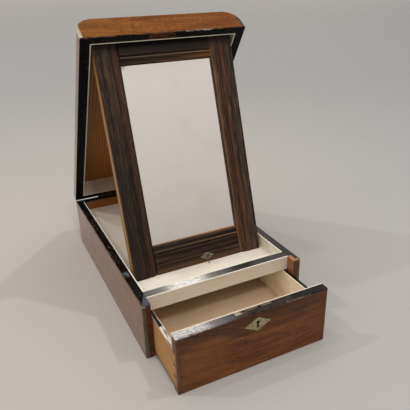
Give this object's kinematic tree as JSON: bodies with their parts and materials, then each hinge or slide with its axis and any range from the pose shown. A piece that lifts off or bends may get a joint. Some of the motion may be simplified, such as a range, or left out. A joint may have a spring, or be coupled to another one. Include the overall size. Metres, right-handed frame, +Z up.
{
  "type": "antique fitted dressing box",
  "caption": "Deep narrow wooden dressing box with a drawer below a shallow tray and a box lid propped open by the mirror frame hinged inside its front edge.",
  "frame": {"origin": "centre of the case's underside", "axes": "+Z up, the drawer and the front face -Y, +X to the right seen from the front"},
  "size_m": [0.2, 0.3951, 0.3404],
  "materials": {
    "rosewood": "polished veneer, worn",
    "ebonised": "ebonised, glossy, chipped",
    "maple": "plain pale wood, matt",
    "secondary_wood": "plain tan wood, matt",
    "coromandel": "dark streaked wood, satin",
    "mirror_glass": "silvered glass, lightly aged",
    "brass": "tarnished brass",
    "steel": "dull iron"
  },
  "bodies": {
    "case": {"case_left_side": "rosewood", "case_right_side": "rosewood", "case_back": "rosewood", "case_bottom": "secondary_wood", "tray_floor": "maple", "front_rail": "secondary_wood", "rail_facing": "maple", "rail_cap": "ebonised", "tray_lining_left": "maple", "tray_lining_right": "maple", "tray_lining_front": "maple", "case_rim_left": "ebonised", "case_rim_right": "ebonised", "case_rim_back": "ebonised", "case_corner_strings": "maple", "case_hinge_leaves": "brass", "case_hinge_screws": "steel", "hinge_pins": "steel", "tray_stop_nail": "steel"},
    "drawer": {"drawer_front": "rosewood", "drawer_front_cap": "ebonised", "drawer_lining_front": "maple", "drawer_left_side": "secondary_wood", "drawer_right_side": "secondary_wood", "drawer_lining_left": "maple", "drawer_lining_right": "maple", "drawer_edging_left": "ebonised", "drawer_edging_right": "ebonised", "drawer_back": "secondary_wood", "drawer_bottom": "maple", "lock_case": "brass", "lock_selvedge": "brass", "lock_key_post": "brass", "keyhole_escutcheon": "brass"},
    "bolt": {"lock_bolt": "brass"},
    "lid": {"lid_panel": "rosewood", "lid_front_wall": "rosewood", "lid_back_wall": "rosewood", "lid_left_wall": "rosewood", "lid_right_wall": "rosewood", "lid_lining_front": "maple", "lid_lining_back": "maple", "lid_lining_left": "maple", "lid_lining_right": "maple", "lid_rim_front": "ebonised", "lid_rim_back": "ebonised", "lid_rim_left": "ebonised", "lid_rim_right": "ebonised", "lid_corner_strings": "maple", "lid_hinge_leaves": "brass", "lid_hinge_screws": "steel", "mirror_pivot_pins": "steel"},
    "mirror": {"mirror_left_stile": "coromandel", "mirror_right_stile": "coromandel", "mirror_top_rail": "coromandel", "mirror_bottom_rail": "coromandel", "mirror_glass": "mirror_glass", "mirror_backboard": "secondary_wood", "mirror_plate": "brass", "mirror_plate_pins": "brass"}
  },
  "joints": [
    {"name": "lid_hinge", "type": "hinge", "parent": "case", "child": "lid", "pos_m": [0, 0.15335, 0.0702], "axis": [-1, 0, 0], "range_deg": [0, 39.3]},
    {"name": "mirror_pivot", "type": "hinge", "parent": "lid", "child": "mirror", "pos_m": [0, -0.00004, 0.3105], "axis": [1, 0, 0], "range_deg": [0, 51.4]},
    {"name": "drawer_slide", "type": "slide", "parent": "case", "child": "drawer", "axis": [0, -1, 0], "range_m": [-0.064, 0.15]},
    {"name": "lock_bolt_slide", "type": "slide", "parent": "drawer", "child": "bolt", "axis": [1, 0, 0], "range_m": [0, 0.0035]}
  ],
  "couplings": [
    {"joint": "mirror_pivot", "follows": "lid_hinge", "ratio": 1.3079}
  ]
}
